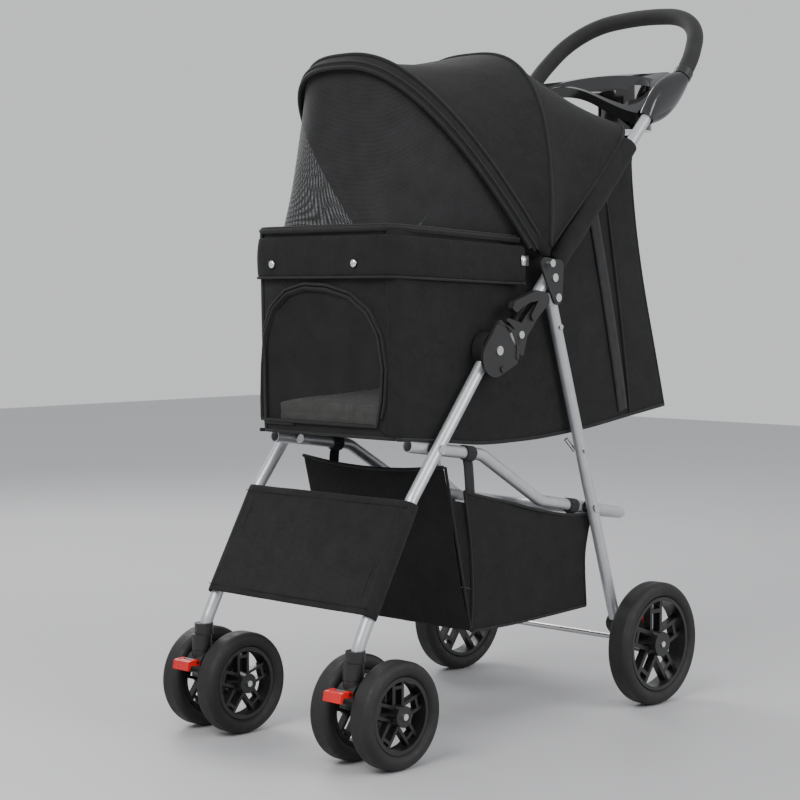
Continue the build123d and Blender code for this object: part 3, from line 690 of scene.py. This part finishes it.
# ---------------------------------------------------------------- rim band, zip and snaps
def rim_path(level, out=0.0, inset=0.0):
    """Route round the bag's rim from the left bracket over the front to the right one."""
    def height(b):
        return level - (b - 47) * 0.046 if level > 630 else level - (b - 47) * (0.034 if level < 610 else 0.0)

    pts = []
    stations = [(278 - inset, 136), (258, 130), (225, 126.5), (150, 125.5), (90, 124), (62, 121)]
    corner = [(52, 116), (47.5, 108)]
    for b, x in stations + corner:
        pts.append(P(b - (out if b < 60 else 0), height(b), x + out * (0 if b < 50 else 1)))
    for x in (80, 40, 0, -40, -80):
        pts.append(P(45.5 - out, height(46), x))
    for b, x in reversed(stations + corner):
        pts.append(P(b - (out if b < 60 else 0), height(b), -x - out * (0 if b < 50 else 1)))
    return line(pts)


low, high = rim_path(592, 4.0), rim_path(643, 3.0)
band_rows = []
levels = 9
for j in range(levels + 1):
    v = j / levels
    row = []
    for i in range(141):
        t = i / 140
        p = low(t).lerp(high(t), v)
        swell = 1.8 * sin(pi * v) ** 0.7
        centre = P(170, p.z * 1000)
        direction = Vector((p.x - centre.x, min(0.0, p.y - centre.y) * 1.0, 0)).normalized()
        p = p + direction * (swell / 1000 + wrinkle(p, 0.06, 0.0014, 9.2))
        if j == 0:
            p.z += 0.0016 * noise.noise(Vector((t * 26, 0, 0)))
        row.append(p)
    band_rows.append(row)
band = cloth("rim_band", band_rows[::-1], M["cloth"], 0.0022)
on_bag(band)
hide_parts("rim_bar")
hem_low = cord("band_hem", rim_path(591, 5.0), 0.0017, M["piping"], 8, 140)
on_bag(hem_low)
rim_tape = cord("rim_zip_tape", rim_path(650.5, 1.2, 8), 0.0046, M["piping"], 8, 140, flat=0.6)
rim_zip = cord("rim_zip", rim_path(654.5, 0.4, 12), 0.0023, M["zip"], 8, 140)
on_bag(rim_tape)
on_bag(rim_zip)

snaps = []
for x in (-84, 65):
    p = P(45.5 - 7.4, 608, x)
    dome = [(0.0052, 0.0), (0.0052, 0.0008), (0.0042, 0.0020), (0.0022, 0.0027), (0.0004, 0.0029)]
    snaps.append(lathe("snap", dome, p, (0, -1, 0), M["snap"], 20))
snap = join("rim_snaps", *snaps)
on_bag(snap)
stub = []
for side in (1, -1):
    rows = [[P(b, z, side * 141.5) for b in (270, 276, 283)] for z in (606.5, 613, 619.5)]
    stub.append(cloth("stub", rows, M["steel"], 0.0022, 0))
stubs = join("rim_strip_ends", *stub)
on_bag(stubs)

# ---------------------------------------------------------------- hood
HP = (313, 615)  # the hood's fan axis
ARCS = {
    "rim": (-81.4, 266, 121, 5.5),
    "front": (-44.0, 343, 143, 2.75),
    "middle": (2.5, 279, 154, 2.83),
    "rear": (47.6, 291, 139, 7.0),
}


def fan(tilt, rise, half, power, t, grow=0.0):
    """Point on a hood arch: t runs from the left foot over the top to the right foot."""
    a = pi * t
    c, s = cos(a), max(0.0, sin(a))
    m = (abs(c) ** power + s ** power) ** (1 / power)
    x = (half + grow) * c / m
    r = (rise + grow) * s / m
    k = radians(tilt)
    return P(HP[0] + r * sin(k), HP[1] + r * cos(k), x)


def even(t):
    """Spread samples a little toward the corners of a boxy arch."""
    return t + 0.06 * sin(4 * pi * t) / (2 * pi)


def between(a, b, k, t, sag=0.0, grow=0.0):
    pa = fan(*ARCS[a], t, grow)
    pb = fan(*ARCS[b], t, grow)
    p = pa.lerp(pb, k)
    centre = P(HP[0], HP[1])
    away = Vector((p.x, p.y - centre.y, p.z - centre.z))
    if away.length > 1e-6:
        away.normalize()
    return p - away * (sag * sin(pi * k) / 1000)


def panel(a, b, steps, sag, seed, grow=0.0, count=72):
    rows = []
    for i in range(count + 1):
        t = 0.004 + 0.992 * even(i / count)
        row = []
        for j in range(steps + 1):
            k = j / steps
            amount = sag * sin(pi * t) ** 0.7
            p = between(a, b, k, t, amount, grow)
            p += (p - P(HP[0], HP[1])).normalized() * wrinkle(p, 0.085, 0.0024, seed) * sin(pi * k)
            row.append(p)
        rows.append(row)
    return rows


window = cloth("hood_window_mesh", panel("rim", "front", 18, 3.0, 2.2, -2.0), M["net"], 0, 1)
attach(window, "front_frame")
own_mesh(window)
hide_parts("hood_window")

front_panel = cloth("hood_front_cloth", panel("front", "middle", 18, 8.0, 4.4), M["cloth"], 0.0014)
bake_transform(front_panel)
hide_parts("hood_front_panel", "front_bow")

rear_panel = cloth("hood_rear_cloth", panel("middle", "rear", 18, 5.0, 6.1), M["cloth"], 0.0014)
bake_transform(rear_panel)
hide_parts("hood_rear_panel", "middle_bow")


def arc_shift(name, width, t, grow):
    """Point beside an arch, moved along the hood's surface by a width in millimetres."""
    tilt, rise, half, power = ARCS[name]
    p = fan(tilt, rise, half, power, t, grow)
    centre = P(HP[0], HP[1])
    reach = max(12.0, 1000 * sqrt_len(p.y - centre.y, p.z - centre.z))
    k = radians(tilt) + width / max(reach, abs(width) * 1.2)
    r = 1000 * sqrt_len(p.y - centre.y, p.z - centre.z)
    return P(HP[0] + r * sin(k), HP[1] + r * cos(k), p.x * 1000)


def sqrt_len(a, b):
    return (a * a + b * b) ** 0.5


def bow_band(name, arc, before, after, grow, mat, thick=0.0016, crown=1.4):
    rows = []
    for i in range(97):
        t = 0.02 + 0.96 * even(i / 96)
        row = []
        for j in range(7):
            s = j / 6
            w = before + (after - before) * s
            p = arc_shift(arc, w, t, grow + crown * (1 - (2 * s - 1) ** 2))
            row.append(p)
        rows.append(row)
    return cloth(name, rows, mat, thick)


hem = bow_band("front_hem", "front", -9, 12, 1.6, M["cloth"])
pipes = [
    cord("pipe", lambda t: arc_shift("front", 12.5, 0.02 + 0.96 * even(t), 3.0), 0.0026, M["piping"], 8, 96),
    cord("pipe", lambda t: arc_shift("front", -2.5, 0.02 + 0.96 * even(t), 3.4), 0.0020, M["piping"], 8, 96),
    cord("pipe", lambda t: arc_shift("front", -10.0, 0.03 + 0.94 * even(t), 0.6), 0.0028, M["zip"], 8, 96),
]
hem = join("front_bow_hem", hem, *pipes)
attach(hem, "hood_front")
ridge_route = lambda t: arc_shift("middle", 0.0, 0.02 + 0.96 * even(t), 0.8)
ridge = cord("middle_seam", ridge_route, 0.0026, M["piping"], 8, 96)
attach(ridge, "hood_middle")
edge_route = lambda t: arc_shift("rear", 0.0, 0.03 + 0.94 * even(t), 0.4)
edge = cord("rear_seam", edge_route, 0.0024, M["piping"], 8, 96)
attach(edge, "upper_frame")

# cloth sleeves that hold the hood to the upper tubes
for side, name in ((1, "left"), (-1, "right")):
    start, end = P(343, 610, side * 139), P(505, 776, side * 139)
    axis_dir = (end - start).normalized()
    normal = Vector((0, -axis_dir.z, axis_dir.y))
    rows = []
    for i in range(41):
        t = i / 40
        c = start.lerp(end, t)
        row = []
        for k in range(20):
            a = 2 * pi * k / 20
            r = 0.0098 + 0.0010 * noise.noise(Vector((cos(a) * 1.2, sin(a) * 1.2, t * 7 + side)))
            tall = 1.35 + 0.25 * sin(pi * t)
            row.append(c + Vector((side, 0, 0)) * cos(a) * r + normal * sin(a) * r * tall)
        rows.append(row)
    sleeve = cloth(f"tube_sleeve_{name}", rows, M["cloth"], 0.0012, 1, loop=True)
    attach(sleeve, "upper_frame")

# ---------------------------------------------------------------- side webbing
straps = []
for side in (1, -1):
    for (b0, z0), (b1, z1), w in (((430, 711), (510, 407), 0.020),):
        a = Vector((0, 0.97, 0.25)).normalized()
        path = [
            P(b0 + (b1 - b0) * t, z0 + (z1 - z0) * t, side * (HALF + 2.2 + 3.0 * sin(pi * t) ** 0.6))
            for t in (0, 0.15, 0.35, 0.55, 0.75, 0.9, 1)
        ]
        straps.append(strip("webbing", path, a * side, w, M["strap"], 48, 0.0016, 0))
        # Painted shade: a dark cord in the zip-chain black runs beside each webbing strip where the side wall
        # folds, and stands in for that fold's shadow.
        path = [
            P(
                b0 + 36 + (b1 + 17 - b0 - 36) * t,
                z0 + 2 - (z0 - 402) * t,
                side * (HALF + 1.6 + 3.0 * sin(pi * t) ** 0.6),
            )
            for t in (0, 0.15, 0.35, 0.55, 0.75, 0.9, 1)
        ]
        straps.append(cord("painted_fold_shadow", path, 0.0018, M["zip"], 8, 48))
strap = join("side_webbing_and_painted_fold_shadow", *straps)
on_bag(strap)

# ---------------------------------------------------------------- mat
bm = bmesh.new()
bmesh.ops.create_cube(bm, size=1.0)
bmesh.ops.subdivide_edges(bm, edges=bm.edges[:], cuts=14, use_grid_fill=True)
mat_mesh = bpy.data.meshes.new("cabin_mat")
for v in bm.verts:
    x, y, z = v.co.x * 2, v.co.y * 2, v.co.z * 2
    round_off = (1 - abs(x) ** 8 * 0.02) * (1 - abs(y) ** 8 * 0.02)
    back = 66 + (y + 1) / 2 * 528
    base = 400.6 + (y + 1) / 2 * 17.6
    thick = 33.0 - 5.0 * (abs(x) ** 6 + abs(y) ** 6) / 2
    pinch = 1.2 * (1 - min(1, abs(z) * 4)) if max(abs(x), abs(y)) > 0.99 else 0
    height = base + (z + 1) / 2 * thick + (1.6 * noise.noise(Vector((x * 3, y * 5, 1.7))) if z > 0.9 else 0)
    p = P(back + (pinch if y < 0 else -pinch), height, x * 110 * round_off)
    v.co = p
bm.to_mesh(mat_mesh)
bm.free()
mat_obj = bpy.data.objects.new("cabin_mat", mat_mesh)
bpy.context.scene.collection.objects.link(mat_obj)
mat_mesh.materials.append(M["fleece"])
settle(mat_obj, ("SUBSURF", {"levels": 1, "render_levels": 1}))
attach(mat_obj, "floor_panel")
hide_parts("mat")

# ---------------------------------------------------------------- footrest panel
rest_rows = []
for j in range(19):
    v = j / 18
    b = -13 + (62 - -13) * v
    z = 180 + (313 - 180) * v
    row = []
    for i in range(57):
        t = i / 56
        u = t * 2 - 1
        x = u * 149.4
        wrap = max(0.0, (abs(x) - 139) / 10.4)
        front_off = 10.6 * (1 - wrap * wrap) ** 0.5 if wrap < 1 else 0.0
        sag = 2.4 * (1 - u * u) * (0.35 + 0.65 * sin(pi * v))
        nb, nz = -0.87, 0.49
        off = front_off - sag - 0.8 * wrap
        p = P(b + nb * off, z + nz * off, x)
        p += Vector((0, nb, nz)) * wrinkle(p, 0.06, 0.0012, 8.8) * (1 - wrap)
        row.append(p)
    rest_rows.append(row)
rest = cloth("footrest_cloth", rest_rows, M["cloth"], 0.0016)
back_rows = []
for side in (1, -1):
    rows = []
    for j in range(19):
        v = j / 18
        c = P(-13 + 75 * v, 180 + 133 * v, side * 139)
        row = []
        for k in range(15):
            a = -pi / 2 + pi * 1.15 * k / 14 - 0.25
            r = 0.0106
            n = Vector((0, -0.87, 0.49))
            row.append(c + Vector((side, 0, 0)) * cos(a) * r - n * sin(a) * r)
        rows.append(row)
    back_rows.append(cloth("fold", rows, M["cloth"], 0.0014))
hems = []
for v, dz in ((0.06, 0), (0.94, 0)):
    pts = []
    for i in range(25):
        x = -146 + 292 * i / 24
        off = 10.6 - 2.4 * (1 - (x / 149) ** 2) * (0.35 + 0.65 * sin(pi * v)) + 0.9
        pts.append(P(-13 + 75 * v - 0.87 * off, 180 + 133 * v + 0.49 * off, x))
    hems.append(cord("hem", pts, 0.0006, M["cloth"], 6, 60))
for side in (1, -1):
    pts = [
        P(-13 + 75 * v - 0.87 * 10.6, 180 + 133 * v + 0.49 * 10.6, side * 126.5)
        for v in (0.02, 0.3, 0.6, 0.98)
    ]
    hems.append(cord("stitch", pts, 0.0005, M["piping"], 6, 40))
rest = join("footrest_cloth_panel", rest, *back_rows, *hems)
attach(rest, "front_frame")
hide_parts("footrest_panel")

# ---------------------------------------------------------------- basket
BH = 126.0
front_top, front_low = (138, 352), (189, 137)
walls = []
rows = []
for j in range(25):
    v = j / 24
    b = front_low[0] + (front_top[0] - front_low[0]) * v
    z = front_low[1] + (front_top[1] - front_low[1]) * v
    row = []
    for i in range(41):
        u = i / 40 * 2 - 1
        droop = 9.0 * (1 - u * u) * v**3
        belly = 5.0 * (1 - u * u) * sin(pi * v) + 3.0
        p = P(b - belly, z - droop, u * (BH + 2.0 * v))
        p.y -= wrinkle(p, 0.07, 0.0035, 2.7) * sin(pi * v)
        row.append(p)
    rows.append(row)
basket_front = cloth("basket_front", rows, M["cloth"], 0.0014)
for side, name in ((1, "left"), (-1, "right")):
    low_edge = line([P(189, 137), P(270, 136), P(350, 138), P(428, 141)])
    top_edge = line([P(176, 318), P(210, 309), P(260, 298), P(320, 283), P(380, 271), P(439, 266)])
    front_edge = line([P(189, 137), P(192, 185), P(188, 250), P(176, 318)])
    rear_edge = line([P(428, 141), P(424, 204), P(430, 240), P(439, 266)])
    rows = patch(low_edge, top_edge, front_edge, rear_edge, 40, 20)
    for j, row in enumerate(rows):
        v = j / 20
        for i, p in enumerate(row):
            u = i / 40
            p.x = side * (BH + 2.5 * sin(pi * u) * sin(pi * v)) / 1000
            p.x += side * wrinkle(p, 0.06, 0.003, 1.1 + side) * min(1, 6 * u, 6 * (1 - u), 6 * v)
    wall = cloth(f"basket_side_{name}", rows if side < 0 else rows[::-1], M["cloth"], 0.0013)
    walls.append(wall)
    outer_edge = line([P(138, 350, side * BH), P(165, 240, side * BH), P(188, 139, side * BH)])
    inner_edge = line([P(176, 318, side * BH), P(188, 250, side * BH), P(190.5, 139, side * BH)])
    rows = []
    for j in range(25):
        row = []
        for i in range(9):
            p = outer_edge(j / 24).lerp(inner_edge(j / 24), i / 8)
            p.x -= side * (0.007 * sin(pi * i / 8) * (1 - j / 24) + 0.001)
            row.append(p)
        rows.append(row)
    gusset = cloth(f"basket_gusset_{name}", rows, M["gusset_net"], 0, 1)
    on_basket(gusset)
rows = []
for j in range(21):
    v = j / 20
    c = line([P(428, 141), P(424, 204), P(430, 240), P(439, 266)])(v)
    row = []
    for i in range(33):
        u = i / 32 * 2 - 1
        p = c.copy()
        p.x = u * BH / 1000
        p.y += 0.003 * (1 - u * u) * sin(pi * v) + wrinkle(p, 0.06, 0.003, 4.2) * sin(pi * v)
        p.z -= 0.006 * (1 - u * u) * v**3
        row.append(p)
    rows.append(row)
basket_rear = cloth("basket_rear", rows, M["cloth"], 0.0013)
rows = []
for j in range(21):
    v = j / 20
    row = []
    for i in range(33):
        u = i / 32 * 2 - 1
        p = P(189 + 239 * v, 137 + 4 * v, u * BH)
        p.z -= 0.004 * (1 - u * u) * sin(pi * v) - wrinkle(p, 0.07, 0.0015, 6.6)
        row.append(p)
    rows.append(row)
basket_floor = cloth("basket_floor", rows, M["cloth"], 0.0014)
for piece in (basket_front, *walls, basket_rear, basket_floor):
    on_basket(piece)
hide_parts("basket")
hems = []
for side in (1, -1):
    x = side * (BH + 0.6)
    rim_points = ((176, 318), (210, 309), (260, 298), (320, 283), (380, 271), (439, 266))
    hems.append(cord("hem", [P(b, z, x) for b, z in rim_points], 0.0022, M["piping"], 8, 50))
    for points in (
        [P(176, 318, x), P(188, 250, x), P(192, 185, x), P(189, 137, x)],
        [P(138, 352, x + side * 1.6), P(165, 240, x), P(189, 137, x)],
        [P(189, 136.6, x), P(270, 135.6, x), P(350, 137.6, x), P(428, 140.6, x)],
        [P(428, 141, x), P(424, 204, x), P(430, 240, x), P(439, 266, x)],
    ):
        hems.append(cord("hem", points, 0.0018, M["piping"], 8, 40))
front_hem = [
    P(138 - 3 - 0.3, 352 - 9 * (1 - u * u), u * (BH + 2)) for u in (-1, -0.6, -0.3, 0, 0.3, 0.6, 1)
]
hems.append(cord("hem", front_hem, 0.0024, M["piping"], 8, 50))
hem = join("basket_piping", *hems)
on_basket(hem)

# straps that hang the basket from the link tube
loops = []
for side in (1, -1):
    for place, reach in (((188, 366.8), 30.0), ((400, 282.1), 5.0)):
        c = P(place[0], place[1], side * 121)
        rows = []
        for j in range(9):
            w = (j / 8 - 0.5) * 0.017
            row = []
            for k in range(25):
                a = 2 * pi * k / 24
                r = 0.0094 + 0.0004 * sin(3 * a)
                row.append(c + Vector((cos(a) * r, w, sin(a) * r - w * 0.14)))
            rows.append(row)
        loops.append(cloth("loop", rows, M["strap"], 0.001, 0))
        tail = [
            c + Vector((0, 0, -0.0094)),
            c + Vector((side * 0.002, 0, -0.02)),
            c + Vector((side * 0.004, 0.001, -0.022 - reach / 1000)),
        ]
        loops.append(strip("tail", tail, (0, 1, 0), 0.017, M["strap"], 12, 0.0014, 0))
strap = join("basket_strap_loops", *loops)
on_basket(strap)
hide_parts("basket_straps")

# ---------------------------------------------------------------- finishes on the CAD nodes
FINISH = {
    "front_leg": "tube", "upper_tube": "tube", "rear_leg_left": "tube", "rear_leg_right": "tube",
    "link_tube": "tube",
    "handle_bow": "tube", "handle_grip": "foam", "handle_collars": "plastic", "parent_tray": "gloss",
    "hinge_plates": "steel", "front_frame_pins": "steel", "upper_frame_rivets": "steel",
    "rear_frame_pins": "steel",
    "rear_axle": "steel", "rear_leg_bolts": "steel", "floor_bar_ends": "steel", "caster_axle": "steel",
    "latch_lower_covers": "plastic", "latch_upper_covers": "plastic", "latch_trigger": "plastic",
    "side_brackets": "plastic", "brake_housings": "plastic", "brake_pedal": "red", "swivel_lock": "red",
    "caster_sockets": "plastic", "caster_fork": "plastic", "link_spacers": "plastic", "floor_board": "lining",
    "front_tyre": "rubber", "rear_tyre": "rubber", "front_rim": "wheel", "rear_rim": "wheel",
}
for node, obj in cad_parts.items():
    for key, finish in FINISH.items():
        if node.startswith(key):
            for slot in obj.material_slots:
                slot.material = M[finish]

# ---------------------------------------------------------------- floor, light and camera
def stage_material(name, color, rough):
    m = Nodes(name, color, rough)
    m.tint(m.noise(1.4, 2), 0.985, 1.015)
    return m.specular(0.2).mat


pale = stage_material("pale floor", (0.5, 0.5, 0.51), 0.5)
floor_corners = [(-6, -5, 0), (6, -5, 0), (6, 5, 0), (-6, 5, 0)]
floor_mesh = build("studio_floor", floor_corners, [(0, 1, 2, 3)], pale)

world = bpy.context.scene.world or bpy.data.worlds.new("studio")
bpy.context.scene.world = world
world.use_nodes = True
tree = world.node_tree
background = tree.nodes["Background"]
background.inputs["Color"].default_value = (0.74, 0.75, 0.765, 1)
background.inputs["Strength"].default_value = 1.0


def area(name, place, target, size, power):
    light = bpy.data.lights.new(name, "AREA")
    light.shape = "RECTANGLE"
    light.size, light.size_y = size
    light.energy = power
    obj = bpy.data.objects.new(name, light)
    bpy.context.scene.collection.objects.link(obj)
    obj.location = place
    obj.rotation_euler = (Vector(target) - Vector(place)).to_track_quat("-Z", "Y").to_euler()
    return obj


area("key", (0.4, -2.4, 2.6), (0, 0, 0.5), (1.8, 1.4), 70)
area("fill", (2.8, 0.4, 1.7), (0, 0, 0.5), (1.6, 1.6), 45)
area("rim", (-2.2, 0.6, 2.0), (0, 0, 0.5), (1.2, 1.6), 40)

camera = bpy.data.cameras.new("photo_view")
camera.lens = 84.38
camera.sensor_width = 36.0
camera.clip_end = 50
view = bpy.data.objects.new("photo_view", camera)
bpy.context.scene.collection.objects.link(view)
az, el = radians(43.583), radians(3.337)
back_axis = Vector((sin(az) * cos(el), -cos(az) * cos(el), sin(el)))
right_axis = Vector((cos(az), sin(az), 0))
up_axis = back_axis.cross(right_axis)
turn = Matrix((right_axis, up_axis, back_axis)).transposed().to_4x4()
view.matrix_world = Matrix.Translation((1.7098, -1.9392, 0.5742)) @ turn
bpy.context.scene.camera = view
